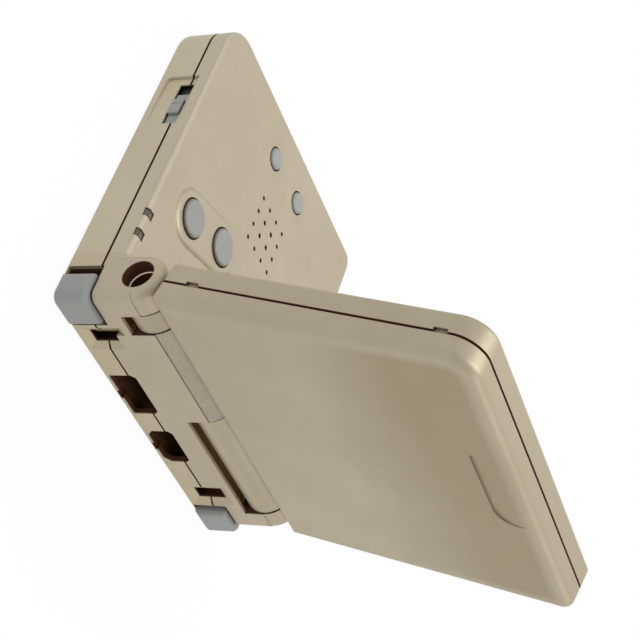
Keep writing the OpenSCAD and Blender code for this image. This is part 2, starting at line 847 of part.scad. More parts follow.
board_margin = 0.8;
module main_board() {
    color("#2f6b48") difference() {
        translate([0, 0, board_low]) linear_extrude(board_thickness) difference() {
            square([body_width - 2 * base_wall - 2 * board_margin,
                base_depth - 2 * base_wall - 2 * board_margin], center = true);
            both_sides() {
                translate([half_width - notch_depth - 2 * base_wall - shoulder_gap,
                    min(shoulder_front - 2 * base_wall - shoulder_swing_gap, block_front - board_margin)])
                    square([half_width, half_depth]);
                translate([notch_inner - 2 * base_wall, half_depth - notch_depth - 2 * base_wall])
                    square([half_width, half_depth]);
                translate([switch_inner - switch_body_depth - seat_gap, -slot_place - slot_length])
                    square([half_width, 2 * slot_length]);
                translate([wall_x - base_right_corner / 2, -half_depth]) square([half_width, base_right_corner]);
            }
        }
        for (place = screw_places) {
            translate([place[0], place[1], board_low - over])
                cylinder(h = board_thickness + 2 * over, r = screw_body + cover_gap);
        }
    }
}

contact_pitch = 1.6;
contact_count = 32;
module cartridge_connector() {
    low = floor_top + seat_gap;
    back = -half_depth + cartridge_depth;
    color("#3a3a3c") difference() {
        span([-cartridge_width / 2 + rib, back, low], [cartridge_width / 2 - rib, back + 5 * rib, board_low]);
        span([-cartridge_width / 2 + 3 * rib, back - over, low + 2 * rib],
            [cartridge_width / 2 - 3 * rib, back + 4 * rib, low + 4 * rib]);
    }
    color("#d8b45a") for (i = [0 : contact_count - 1]) {
        translate([(i - (contact_count - 1) / 2) * contact_pitch, back + 2 * rib, low + 2 * rib + contact_pitch / 8])
            cube([contact_pitch / 2, 4 * rib, contact_pitch / 4], center = true);
    }
}

connector_set = 6;
connector_depth = 5.4;
module socket_body(offset, width) {
    low = floor_top + seat_gap;
    difference() {
        span([offset - width / 2 - rib, wall_y - connector_set - connector_depth, low],
            [offset + width / 2 + rib, wall_y - connector_set, board_low]);
        span([offset - width / 2 + rib, wall_y - connector_set - connector_depth + rib, low + rib],
            [offset + width / 2 - rib, wall_y - connector_set + over, board_low - 2 * rib]);
    }
}

module link_connector() {
    color("#3a3a3c") socket_body(socket_offset, link_width - 2 * rib);
    color("#3a3a3c") span([socket_offset - link_width / 4, wall_y - connector_set - connector_depth + rib / 2,
        floor_top + 2 * rib + seat_gap], [socket_offset + link_width / 4, wall_y - connector_set - rib,
        floor_top + 3 * rib + seat_gap]);
}

module power_connector() {
    color("#3a3a3c") socket_body(-socket_offset, power_width - 2 * rib);
    color("#3a3a3c") span([-socket_offset - power_width / 4, wall_y - connector_set - connector_depth + rib / 2,
        floor_top + 2 * rib + seat_gap], [-socket_offset + power_width / 4, wall_y - connector_set - rib,
        floor_top + 3 * rib + seat_gap]);
}

speaker_height = ceiling - board_top - 2 * seat_gap;
module speaker() {
    color("#56585c") translate([grille_place[0], grille_place[1], board_top + seat_gap]) difference() {
        cylinder(h = speaker_height, r = speaker_radius);
        translate([0, 0, speaker_height - rib / 2]) cylinder(h = rib, r = speaker_radius - rib);
    }
    color("#2b2b2d") translate([grille_place[0], grille_place[1], board_top + speaker_height - rib / 2])
        cylinder(h = rib / 4, r = speaker_radius - rib);
}

membrane_margin = 1;
module membrane_pad(place, radius) {
    translate([place[0], place[1], board_top]) cylinder(h = membrane_thickness, r = radius + membrane_margin);
}

module action_membrane() {
    color("#8a8c8e") {
        membrane_pad(a_place, action_radius);
        membrane_pad(b_place, action_radius);
        translate([b_place[0], b_place[1], board_top]) rotate([0, 0, action_slope])
            translate([0, -action_radius, 0]) cube([action_pitch, 2 * action_radius, membrane_thickness]);
    }
}

module cross_membrane() {
    color("#8a8c8e") membrane_pad(cross_place, cross_width / 2);
}

module small_membrane() {
    color("#8a8c8e") {
        for (side = [-1, 1]) {
            membrane_pad([side * small_pitch / 2, small_row], small_radius);
        }
        translate([0, small_row, board_top + membrane_thickness / 2])
            cube([small_pitch, small_radius, membrane_thickness], center = true);
    }
}

module light_membrane() {
    color("#8a8c8e") membrane_pad(light_place, light_radius);
}

module housing_screws() {
    color("#8d8f92") for (place = screw_places) {
        translate([place[0], place[1], seat_gap]) cross_head_screw(screw_head - cover_gap,
            screw_body - cover_gap / 2, screw_head_height - seat_gap, ceiling - 2 * seat_gap);
    }
}

knob_outer = half_width - slot_wall - knob_gap;
knob_low = slot_low - rib / 2;
knob_high = slot_low + slot_height + rib / 2;
switch_inner = knob_outer - knob_plate - knob_gap;
module switch_body() {
    span([switch_inner - switch_body_depth, slot_front - rib, knob_low],
        [switch_inner, slot_front + slot_length + 2 * rib, knob_high]);
}

module power_switch_body() {
    color("#3a3a3c") switch_body();
}

module volume_switch_body() {
    color("#3a3a3c") mirror([1, 0, 0]) switch_body();
}

// Sliding plate with its raised and ridged grip
grip_ridge = 0.3;
ridge_share = 0.4;
module switch_knob(front, length, grip_front) {
    span([knob_outer - knob_plate, front, knob_low], [knob_outer, front + length, knob_high]);
    difference() {
        span([knob_outer - seat_gap, grip_front, slot_low + grip_gap],
            [half_width + grip_proud, grip_front + grip_length, slot_low + slot_height - grip_gap]);
        translate([half_width + grip_proud, grip_front + ridge_share * grip_length, slot_low + slot_height / 2])
            cube([grip_ridge, grip_ridge, slot_height], center = true);
    }
}

module power_switch_knob() {
    color("#a7aaab") switch_knob(slot_front + power_travel + grip_gap, slot_length, slot_front + grip_rest);
}

volume_grip_front = -slot_place - grip_length / 2;
volume_plate = grip_length + 2 * rib;
module volume_slider_knob() {
    color("#a7aaab") mirror([1, 0, 0])
        switch_knob(-slot_place - volume_plate / 2, volume_plate, volume_grip_front);
}

// Light pipe that fills a window in the edge of the control face
module light_pipe(index) {
    side = light_length / 2 - light_pipe_gap;
    translate([0, light_first + index * light_pitch, 0]) {
        intersection() {
            edge_bar(light_length, half_width - light_pipe_set, base_height - light_pipe_set, base_top_edge,
                base_bottom_edge);
            light_shape(light_pipe_gap);
        }
        span([half_width - light_reach + light_pipe_gap, -side, ceiling - light_reach],
            [wall_x - light_pipe_gap, side, base_height - light_drop / 2]);
        span([wall_x - light_foot, -side, board_top + seat_gap],
            [wall_x - light_pipe_gap, side, ceiling - light_pipe_gap]);
    }
}

module power_light_pipe() {
    color("#8f8a80") light_pipe(0);
}

module charge_light_pipe() {
    color("#8f8a80") light_pipe(1);
}

module shoulder_pins() {
    color("#9a9da0") both_sides() translate([pin_x, pin_y, floor_top / 2 + seat_gap])
        cylinder(h = notch_top - floor_top / 2 - 2 * seat_gap, r = pin_radius - seat_gap);
}

contact_x = half_width - notch_depth - shoulder_gap - base_wall;
module shoulder_contacts() {
    color("#3a3a3c") both_sides() translate([contact_x - contact_size[0],
        half_depth - notch_depth - shoulder_gap - base_wall - contact_size[1] - seat_gap, floor_top + seat_gap])
        cube(contact_size);
}

// Shoulder button: a bent shell round the corner with soft edges
shoulder_edge = 1.2;
module shoulder_button() {
    difference() {
        translate([0, 0, shoulder_low]) intersection() {
            soft_slab(body_width + 2 * shoulder_proud, base_depth + 2 * shoulder_proud, shoulder_height,
                [shoulder_corner, shoulder_corner], shoulder_corner, shoulder_edge, shoulder_edge);
            linear_extrude(shoulder_height) {
                shoulder_arm(half_width - shoulder_inner);
                translate([half_width, half_depth]) rotate([0, 0, -90]) mirror([1, 0])
                    translate([-half_width, -half_depth]) shoulder_arm(half_depth - shoulder_front);
            }
        }
        translate([pin_x, pin_y, 0]) cylinder(h = base_height, r = pin_radius - seat_gap + pin_fit);
    }
}

// Plan of one arm of a shoulder button, with its outer end corner rounded
module shoulder_arm(length) {
    translate([half_width - length, half_depth - notch_depth]) {
        square([body_width, notch_depth + shoulder_proud - shoulder_edge]);
        translate([shoulder_edge, 0]) square([body_width, notch_depth + over + shoulder_proud]);
        translate([shoulder_edge, notch_depth + shoulder_proud - shoulder_edge]) circle(shoulder_edge);
    }
}

module right_shoulder_button() {
    color("#a7aaab") shoulder_button();
}

module left_shoulder_button() {
    color("#a7aaab") mirror([1, 0, 0]) shoulder_button();
}

// Round push button with a flange that holds it under the control face
module round_button(place, radius, rise) {
    translate([place[0], place[1], flange_low]) {
        cylinder(h = flange_thickness, r = radius + flange_margin);
        soft_disc(radius, base_height + rise - flange_low, button_dome);
    }
}

module a_button() {
    color("#a7aaab") round_button(a_place, action_radius, button_proud);
}

module b_button() {
    color("#a7aaab") round_button(b_place, action_radius, button_proud);
}

small_proud_share = 0.75;
light_proud_share = 0.5;
module start_button() {
    color("#a7aaab")
        round_button([small_pitch / 2, small_row], small_radius, small_proud_share * button_proud);
}

module select_button() {
    color("#a7aaab")
        round_button([-small_pitch / 2, small_row], small_radius, small_proud_share * button_proud);
}

module screen_light_button() {
    color("#a7aaab") round_button(light_place, light_radius, light_proud_share * button_proud);
}

module control_cross() {
    edge = button_dome / 2;
    rise = base_height + cross_height - flange_low;
    color("#a7aaab") difference() {
        translate([cross_place[0], cross_place[1], flange_low]) {
            cylinder(h = flange_thickness, r = cross_width / 2 + flange_margin / 2);
            for (turn = [0, 90]) {
                rotate([0, 0, turn]) {
                    translate([-cross_width / 2, -cross_arm / 2, 0]) cube([cross_width, cross_arm, rise - edge]);
                    translate([edge - cross_width / 2, edge - cross_arm / 2, 0])
                        cube([cross_width - 2 * edge, cross_arm - 2 * edge, rise]);
                }
            }
        }
        translate([cross_place[0], cross_place[1], base_height + cross_height + cross_arm - cross_hub])
            sphere(cross_arm);
    }
}

cylinder_depth = 14;
module hinge_cylinder() {
    flat = hinge_bore / 6;
    color("#c9ccce") on_axis() difference() {
        rod(centre_right - cylinder_depth, short_out - rib, hinge_bore - hinge_fit);
        translate([centre_right - cylinder_depth / 2, 0, hinge_bore - hinge_fit])
            cube([cylinder_depth + 2 * over, hinge_bore, 2 * flat], center = true);
    }
}

bush_length = 8;
bush_wall = 1;
module hinge_bush() {
    color("#8d8f92") on_axis() difference() {
        rod(-half_width + base_wall + seat_gap, -knuckle_in + bush_length, hinge_bore - hinge_fit);
        rod(-half_width, -knuckle_in + bush_length + over, hinge_bore - hinge_fit - bush_wall);
    }
}

// Places of the lid's screws, from its right rear corner round
lid_depth = lid_length - lid_rear_reach;
lid_middle = -(lid_length + lid_rear_reach) / 2;
screen_width = body_width - 2 * screen_side;
screen_height = lid_depth - screen_front - screen_rear;
screen_middle = lid_rear_reach + screen_rear + screen_height / 2;
lid_screw_x = half_width - lid_screw_inset;
lid_screw_front = (tray_rim + screen_front - lens_margin) / 2 - lid_length;
lid_screw_rear = -lid_rear_reach - (tray_rim + screen_rear - lens_margin) / 2;
lid_screw_places = [
    [lid_screw_x, lid_screw_rear], [-lid_screw_x, lid_screw_rear],
    [lid_screw_x - rib, lid_screw_front], [rib - lid_screw_x, lid_screw_front], [0, lid_screw_front]
];
lid_inner_space = lid_inner_drop + lid_seam_rise;
lens_width = screen_width + 2 * lens_margin;
lens_height = screen_height + 2 * lens_margin;
lens_recess = lens_thickness + cap_gap;
window_lip = 2;
tray_level = tray_depth - lid_inner_drop;

lid_fronts = [lid_right_corner, lid_left_corner];
least_corner = 0.8;
module lid_plan(inset) {
    plan(body_width - 2 * inset, lid_depth - 2 * inset, [max(lid_right_corner - inset, least_corner),
        max(lid_left_corner - inset, least_corner)], max(lid_rear_corner - inset, least_corner));
}

module lid_frame() {
    color("#c3b59a") on_lid() difference() {
        union() {
            translate([0, lid_middle, -lid_inner_drop]) difference() {
                square_slab(body_width, lid_depth, lid_inner_space, lid_fronts, lid_rear_corner,
                    seat_gap, lid_inner_edge);
                translate([0, 0, tray_depth + lid_wall]) linear_extrude(lid_inner_space) lid_plan(lid_wall);
                translate([0, 0, -over]) linear_extrude(tray_depth + over) lid_plan(tray_rim);
            }
            for (place = lid_screw_places) {
                translate([place[0], place[1], tray_level]) cylinder(h = lid_seam_rise - tray_level, r = cap_radius);
            }
            rod(short_in, short_out, lid_barrel_radius);
            rod(long_left, long_right, lid_barrel_radius);
            span([short_in, -lid_rear_reach - lid_wall, -lid_inner_drop], [short_out, 0, lid_seam_rise]);
            span([long_left, -lid_rear_reach - lid_wall, -lid_inner_drop], [long_right, 0, lid_seam_rise]);
        }
        rod(short_in - over, short_out + over, hinge_bore);
        rod(long_left - over, long_left + bush_length, hinge_bore);
        rod(long_left + bush_length - over, long_right + over, centre_bore - lid_wall / 2);
        translate([0, -screen_middle, tray_level]) {
            translate([-lens_width / 2, -lens_height / 2, -over]) cube([lens_width, lens_height, over + lens_recess]);
            translate([-screen_width / 2 - window_lip, -screen_height / 2 - window_lip, 0])
                cube([screen_width + 2 * window_lip, screen_height + 2 * window_lip, lid_inner_space + over]);
        }
        translate([0, lid_middle, lid_seam_rise - seam_gap]) linear_extrude(seam_gap + over) difference() {
            square([body_width + over, lid_depth + over], center = true);
            lid_plan(seam_depth);
        }
        both_sides() for (reach = notch_reach) {
            translate([half_width, -reach, lid_seam_rise]) cube([2 * seam_depth, notch_length, 2 * notch_height],
                center = true);
        }
        for (place = lid_screw_places) {
            translate([place[0], place[1], tray_level - over]) {
                cylinder(h = over + cap_thickness, r = cap_recess);
                cylinder(h = over + cap_thickness + screw_head_height, r = screw_head);
                cylinder(h = lid_inner_space + 2 * over, r = screw_body);
            }
        }
    }
}

module lid_cover() {
    rise = lid_outer_rise - lid_seam_rise;
    color("#b3a688") on_lid() difference() {
        union() {
            translate([0, lid_middle, lid_seam_rise]) difference() {
                square_slab(body_width, lid_depth, rise, lid_fronts, lid_rear_corner, lid_outer_edge,
                    seat_gap);
                translate([0, 0, -over]) linear_extrude(rise - lid_wall + over) lid_plan(lid_wall);
            }
            for (place = lid_screw_places) {
                translate([place[0], place[1], lid_seam_rise + seat_gap])
                    cylinder(h = rise - lid_wall, r = cap_radius);
            }
        }
        for (place = lid_screw_places) {
            translate([place[0], place[1], 0]) cylinder(h = lid_outer_rise - lid_wall, r = screw_body);
        }
        translate([0, tab_inset - lid_length, lid_outer_rise]) tab_cut();
    }
}

// Shallow recess for a fingertip, deepest along its straight rear side
module tab_cut() {
    half = tab_length / 2;
    intersection() {
        translate([0, 0, -tab_groove]) linear_extrude(2 * tab_groove) {
            translate([tab_bend - half, -tab_bend]) circle(tab_bend);
            translate([half - tab_hook, -tab_hook]) circle(tab_hook);
            translate([tab_bend - half, -tab_fade]) square([tab_length - tab_bend - tab_hook, tab_fade]);
            translate([half - tab_hook - over, -tab_fade]) square([tab_hook + over, tab_fade - tab_hook]);
        }
        rotate([90, 0, 90]) linear_extrude(tab_length, center = true)
            polygon([[0, -tab_groove], [0, tab_groove], [-tab_fade, tab_groove], [-tab_fade, 0]]);
    }
}

module screen_lens() {
    inset = cap_gap;
    color("#2c2f33") on_lid() translate([0, -screen_middle, tray_level + lens_recess - lens_thickness])
        span([inset - lens_width / 2, inset - lens_height / 2, 0],
            [lens_width / 2 - inset, lens_height / 2 - inset, lens_thickness]);
}

panel_low = tray_level + lens_recess + seat_gap;
module display_panel() {
    color("#7f868c") on_lid() translate([0, -screen_middle, panel_low]) {
        span([-screen_width / 2 - window_lip / 2, -screen_height / 2 - window_lip / 2, 0],
            [screen_width / 2 + window_lip / 2, screen_height / 2 + window_lip / 2, display_thickness]);
    }
}

module display_spacer() {
    low = panel_low + display_thickness;
    high = lid_outer_rise - lid_wall;
    color("#3c3d40") on_lid() translate([0, -screen_middle, 0]) difference() {
        span([-screen_width / 2, -screen_height / 2, low + seat_gap],
            [screen_width / 2, screen_height / 2, high - seat_gap]);
        span([-screen_width / 2 + lens_margin, -screen_height / 2 + lens_margin, low - over],
            [screen_width / 2 - lens_margin, screen_height / 2 - lens_margin, high + over]);
    }
}

module lid_screws() {
    length = lid_outer_rise - lid_wall - tray_level - cap_thickness - 4 * seat_gap;
    color("#8d8f92") on_lid() for (place = lid_screw_places) {
        translate([place[0], place[1], tray_level + cap_thickness + seat_gap])
            cross_head_screw(screw_head - cover_gap, screw_body - cover_gap / 2, screw_head_height - seat_gap, length);
    }
}

module lid_screw_caps() {
    color("#b9ac94") on_lid() for (place = lid_screw_places) {
        translate([place[0], place[1], tray_level]) cylinder(h = cap_thickness, r = cap_recess - cap_gap);
    }
}

// Soft stops between lid and base, beside the screen
module lid_bumpers() {
    color("#8a8c8e") on_lid() for (side = [-1, 1]) {
        translate([side * (half_width - bumper_inset), -screen_middle, -lid_inner_drop - bumper_proud])
            cylinder(h = bumper_proud, r = bumper_radius);
    }
}

base_top_housing();
base_bottom_housing();
hinge_centre_cover();
battery_cover();
battery_cover_screw();
battery_pack();
main_board();
cartridge_connector();
link_connector();
power_connector();
speaker();
action_membrane();
cross_membrane();
small_membrane();
light_membrane();
housing_screws();
power_switch_body();
volume_switch_body();
power_light_pipe();
charge_light_pipe();
shoulder_pins();
shoulder_contacts();
hinge_cylinder();
hinge_bush();
control_cross();
a_button();
b_button();
start_button();
select_button();
screen_light_button();
right_shoulder_button();
left_shoulder_button();
power_switch_knob();
volume_slider_knob();
lid_cover();
lid_frame();
screen_lens();
display_panel();
display_spacer();
lid_screws();
lid_screw_caps();
lid_bumpers();
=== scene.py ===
import json
import math
import bpy
import bmesh
from mathutils import Matrix, Quaternion, Vector


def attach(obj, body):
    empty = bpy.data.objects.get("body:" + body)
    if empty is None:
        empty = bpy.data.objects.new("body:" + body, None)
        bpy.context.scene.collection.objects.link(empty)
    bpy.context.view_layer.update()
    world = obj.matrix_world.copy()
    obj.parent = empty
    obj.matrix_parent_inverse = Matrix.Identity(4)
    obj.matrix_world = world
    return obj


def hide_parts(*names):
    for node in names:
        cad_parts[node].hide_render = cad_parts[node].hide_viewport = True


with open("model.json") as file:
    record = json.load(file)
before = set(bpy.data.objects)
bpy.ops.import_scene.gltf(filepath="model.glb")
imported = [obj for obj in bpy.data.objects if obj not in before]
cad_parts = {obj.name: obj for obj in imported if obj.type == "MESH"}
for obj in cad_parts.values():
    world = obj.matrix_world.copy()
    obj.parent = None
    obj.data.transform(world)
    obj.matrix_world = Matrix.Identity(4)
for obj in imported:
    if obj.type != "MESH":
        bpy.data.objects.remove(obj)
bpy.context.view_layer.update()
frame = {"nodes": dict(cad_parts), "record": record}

nodes = frame["nodes"]
scene = bpy.context.scene

# Where the photograph was taken from, in metres
cameraSetup = {
    "place": (0.237878, 0.215785, 0.18416),
    "turn": (-0.290924, 0.501627, 0.182748, 0.793937),
    "lens": 88.634, "sensor": 36, "shift": (0.008276, 0.009456),
    "near": 0.01, "far": 50,
}


def addCamera(values):
    data = bpy.data.cameras.new("photoCamera")
    data.lens = values["lens"]
    data.sensor_width = values["sensor"]
    data.sensor_fit = "HORIZONTAL"
    data.shift_x, data.shift_y = values["shift"]
    data.clip_start = values["near"]
    data.clip_end = values["far"]
    camera = bpy.data.objects.new("photoCamera", data)
    scene.collection.objects.link(camera)
    camera.rotation_mode = "QUATERNION"
    camera.location = values["place"]
    camera.rotation_quaternion = Quaternion(values["turn"])
    scene.camera = camera


addCamera(cameraSetup)
print("camera placed")

# The hinge, about which the lid's patterns are turned back to the closed lid
hinge = {"y": 0.0364, "z": 0.0187, "angle": math.radians(101.8)}

# Shader helpers: small nodes with their values or links given in one line


def addNode(tree, kind, **values):
    node = tree.nodes.new(kind)
    for key, value in values.items():
        setattr(node, key, value)
    return node


def feed(tree, socket, value):
    if hasattr(value, "is_output"):
        tree.links.new(value, socket)
    elif isinstance(value, (tuple, list)) and socket.type == "RGBA":
        socket.default_value = (*value[:3], 1)
    else:
        socket.default_value = value


def calc(tree, operation, *values):
    node = addNode(tree, "ShaderNodeMath", operation=operation)
    for socket, value in zip(node.inputs, values):
        feed(tree, socket, value)
    return node.outputs[0]


def ramp(tree, value, low, high, toLow=0.0, toHigh=1.0):
    node = addNode(tree, "ShaderNodeMapRange")
    sockets = {"Value": value, "From Min": low, "From Max": high, "To Min": toLow, "To Max": toHigh}
    for key, number in sockets.items():
        feed(tree, node.inputs[key], number)
    return node.outputs["Result"]


# Places of the colour sockets in Blender's mix node
mixSockets = {"first": 6, "second": 7, "result": 2}


def blendColour(tree, share, first, second):
    node = addNode(tree, "ShaderNodeMix", data_type="RGBA")
    feed(tree, node.inputs["Factor"], share)
    feed(tree, node.inputs[mixSockets["first"]], first)
    feed(tree, node.inputs[mixSockets["second"]], second)
    return node.outputs[mixSockets["result"]]


def noise(tree, points, scale, detail):
    node = addNode(tree, "ShaderNodeTexNoise")
    for key, value in (("Vector", points), ("Scale", scale), ("Detail", detail)):
        feed(tree, node.inputs[key], value)
    return node.outputs["Fac"]


def newGroup(name, inputs, outputs):
    group = bpy.data.node_groups.new(name, "ShaderNodeTree")
    for label in inputs:
        kind = "NodeSocketVector" if label == "Points" else "NodeSocketFloat"
        group.interface.new_socket(label, in_out="INPUT", socket_type=kind)
    for label in outputs:
        group.interface.new_socket(label, in_out="OUTPUT", socket_type="NodeSocketFloat")
    given = addNode(group, "NodeGroupInput").outputs
    return group, given, addNode(group, "NodeGroupOutput").inputs


def useGroup(tree, group, **values):
    node = addNode(tree, "ShaderNodeGroup", node_tree=group)
    for key, value in values.items():
        feed(tree, node.inputs[key], value)
    return node.outputs


# Fine pigment: cloudy tone, flakes and a height for the surface
pigmentShape = {
    "cloudDetail": 4, "mottle": 7.0, "mottleDetail": 2, "fineDetail": 1,
    "cloudShare": 0.75, "mottleShare": 0.25, "tone": (0.35, 0.65), "flecks": (0.42, 0.66),
}


def makePigment(values):
    group, given, out = newGroup("pigment", ["Points", "Cloud", "Fleck"], ["Tone", "Flecks", "Height"])
    cloud = noise(group, given["Points"], given["Cloud"], values["cloudDetail"])
    mottleScale = calc(group, "MULTIPLY", given["Cloud"], values["mottle"])
    mottle = noise(group, given["Points"], mottleScale, values["mottleDetail"])
    fine = noise(group, given["Points"], given["Fleck"], values["fineDetail"])
    tone = calc(group, "ADD", calc(group, "MULTIPLY", cloud, values["cloudShare"]),
                calc(group, "MULTIPLY", mottle, values["mottleShare"]))
    group.links.new(ramp(group, tone, *values["tone"]), out["Tone"])
    group.links.new(ramp(group, fine, *values["flecks"]), out["Flecks"])
    group.links.new(fine, out["Height"])
    return group


# Edges rubbed by hands and pockets: where a rounded normal leaves the flat one, broken up by noise
wearShape = {"samples": 6, "edge": (0.995, 0.85), "detail": 4, "patches": (0.48, 0.62)}


def makeEdgeWear(values):
    group, given, out = newGroup("edgeWear", ["Points", "Radius", "Patches"], ["Worn"])
    rounded = addNode(group, "ShaderNodeBevel", samples=values["samples"])
    group.links.new(given["Radius"], rounded.inputs["Radius"])
    flat = addNode(group, "ShaderNodeNewGeometry")
    likeness = addNode(group, "ShaderNodeVectorMath", operation="DOT_PRODUCT")
    group.links.new(rounded.outputs["Normal"], likeness.inputs[0])
    group.links.new(flat.outputs["Normal"], likeness.inputs[1])
    edge = ramp(group, likeness.outputs["Value"], *values["edge"])
    patches = noise(group, given["Points"], given["Patches"], values["detail"])
    worn = calc(group, "MULTIPLY", edge, ramp(group, patches, *values["patches"]))
    group.links.new(worn, out["Worn"])
    return group


# Painted shade in grooves and hollows, where light does not reach
hollowSamples = 8


def makeHollow(samples):
    group, given, out = newGroup("hollow", ["Reach", "Open", "Shut"], ["Shade"])
    room = addNode(group, "ShaderNodeAmbientOcclusion", samples=samples)
    group.links.new(given["Reach"], room.inputs["Distance"])
    group.links.new(ramp(group, room.outputs["AO"], given["Open"], given["Shut"]), out["Shade"])
    return group


# Distance behind a moulded outline with rounded corners, from the outer skin inwards; the front
# corners have their own radii on the right and left
def makeSkinDepth():
    inputs = ["Points", "Middle", "HalfWidth", "HalfDepth", "Right", "Left", "Rear"]
    group, given, out = newGroup("skinDepth", inputs, ["Depth"])
    apart = addNode(group, "ShaderNodeSeparateXYZ")
    group.links.new(given["Points"], apart.inputs[0])
    across = apart.outputs["X"]
    along = calc(group, "SUBTRACT", apart.outputs["Y"], given["Middle"])
    front = calc(group, "LESS_THAN", along, 0.0)
    right = calc(group, "GREATER_THAN", across, 0.0)
    corner = ramp(group, right, 0, 1, given["Left"], given["Right"])
    radius = ramp(group, front, 0, 1, given["Rear"], corner)
    side = calc(group, "SUBTRACT", calc(group, "ABSOLUTE", across),
                calc(group, "SUBTRACT", given["HalfWidth"], radius))
    end = calc(group, "SUBTRACT", calc(group, "ABSOLUTE", along),
               calc(group, "SUBTRACT", given["HalfDepth"], radius))
    squares = [calc(group, "POWER", calc(group, "MAXIMUM", part, 0.0), 2.0) for part in (side, end)]
    past = calc(group, "SQRT", calc(group, "ADD", *squares))
    within = calc(group, "MINIMUM", calc(group, "MAXIMUM", side, end), 0.0)
    depth = calc(group, "SUBTRACT", calc(group, "SUBTRACT", radius, past), within)
    group.links.new(depth, out["Depth"])
    return group


pigment = makePigment(pigmentShape)
edgeWear = makeEdgeWear(wearShape)
hollow = makeHollow(hollowSamples)
skinDepth = makeSkinDepth()


def newMaterial(name):
    material = bpy.data.materials.new(name)
    material.use_nodes = True
    tree = material.node_tree
    return material, tree, tree.nodes["Principled BSDF"]


# Object coordinates, or for the lid's pieces the same turned back to the closed lid
def objectPoints(tree, onLid):
    points = addNode(tree, "ShaderNodeTexCoord").outputs["Object"]
    if not onLid:
        return points
    centred = addNode(tree, "ShaderNodeMapping")
    centred.inputs["Location"].default_value = (0, -hinge["y"], -hinge["z"])
    turned = addNode(tree, "ShaderNodeMapping")
    turned.inputs["Rotation"].default_value = (hinge["angle"], 0, 0)
    tree.links.new(points, centred.inputs["Vector"])
    tree.links.new(centred.outputs["Vector"], turned.inputs["Vector"])
    return turned.outputs["Vector"]


def addBump(tree, shader, height, strength, distance, normal):
    node = addNode(tree, "ShaderNodeBump")
    node.inputs["Strength"].default_value = strength
    node.inputs["Distance"].default_value = distance
    tree.links.new(height, node.inputs["Height"])
    tree.links.new(normal, node.inputs["Normal"])
    tree.links.new(node.outputs["Normal"], shader.inputs["Normal"])


# Parts of a mask: each gives 1 inside its limit, and masks are joined with most or every


def splitPoints(tree, points):
    apart = addNode(tree, "ShaderNodeSeparateXYZ")
    tree.links.new(points, apart.inputs[0])
    return apart.outputs["X"], apart.outputs["Y"], apart.outputs["Z"]


def below(tree, value, limit):
    return calc(tree, "LESS_THAN", value, limit)


def above(tree, value, limit):
    return calc(tree, "GREATER_THAN", value, limit)


def gapTo(tree, value, place):
    return calc(tree, "ABSOLUTE", calc(tree, "SUBTRACT", value, place))


def fade(tree, value, limit, soft):
    return ramp(tree, value, limit, limit - soft)


def reachFrom(tree, first, second, centre):
    toFirst = calc(tree, "POWER", calc(tree, "SUBTRACT", first, centre[0]), 2.0)
    toSecond = calc(tree, "POWER", calc(tree, "SUBTRACT", second, centre[1]), 2.0)
    return calc(tree, "SQRT", calc(tree, "ADD", toFirst, toSecond))


def most(tree, *masks):
    result = masks[0]
    for mask in masks[1:]:
        result = calc(tree, "MAXIMUM", result, mask)
    return result


def every(tree, *masks):
    result = masks[0]
    for mask in masks[1:]:
        result = calc(tree, "MULTIPLY", result, mask)
    return result


def depthBehind(tree, points, outline):
    return useGroup(tree, skinDepth, Points=points, **outline)["Depth"]


# The base's outline, and where it turns dark brown, as unpainted plastic and also as painted shade: walls,
# seam, hinge bore, cradle and button wells
baseOutline = {"Middle": 0.0, "HalfWidth": 0.041, "HalfDepth": 0.0423,
               "Right": 0.008, "Left": 0.0036, "Rear": 0.003}
baseInside = {
    "wall": 0.0009, "wallSoft": 0.00015, "ceiling": 0.01385, "floor": 0.00105, "soft": 0.0001,
    "bore": 0.0035, "boreEnd": -0.0405, "edgeSoft": 0.00004,
    "buttonTop": 0.0146, "buttonSoft": 0.00015,
    "buttons": {"b": (0.0136, 0.0038, 0.00468), "a": (0.02711, 0.00783, 0.00468),
                "start": (0.0075, -0.0305, 0.00303), "select": (-0.0075, -0.0305, 0.00303)},
}
# Thinner skin round the two sockets and the knobs' slots; elsewhere is deeper than any wall
socketZone = {"from": 0.035, "reach": 0.0195, "top": 0.0089, "wall": 0.00015}
knobZone = {"side": 0.038, "top": 0.0125, "wall": 0.00058, "elsewhere": 1.0}
# The dish of the control cross, whose floor is painted
dishZone = {"place": (-0.0255, 0.0065), "radius": 0.0117, "soft": 0.00002, "ceiling": 0.0134}
# The seam between the two housings, which runs lower along the middle of the rear wall
baseSeam = {"side": 0.0093, "rear": 0.0068, "half": 0.00026, "rearHalf": 0.0002, "rearFrom": 0.0411,
            "notch": 0.0323, "soft": 0.00005, "reach": 0.0016}
# Painted shade in the cradle under the lid's barrels, darker downwards, with its upright end faces
cradleZone = {"radius": 0.00705, "half": 0.0346, "top": 0.01395, "soft": 0.0001, "low": 0.0118,
              "topShare": 0.1, "ends": (0.029, 0.0, 0.0348), "endSkin": 0.00008, "endLow": 0.0126,
              "skin": 0.0001}
# Painted highlight on the upper edge of the base and on the top of its walls, in front of the hinge
rimHighlightZone = {"level": 0.014, "reach": (0.0009, 0.00062), "wallSkin": (0.0004, 0.0002),
           "wallTop": (0.0132, 0.0128), "wallShare": 0.45, "rear": 0.0304}


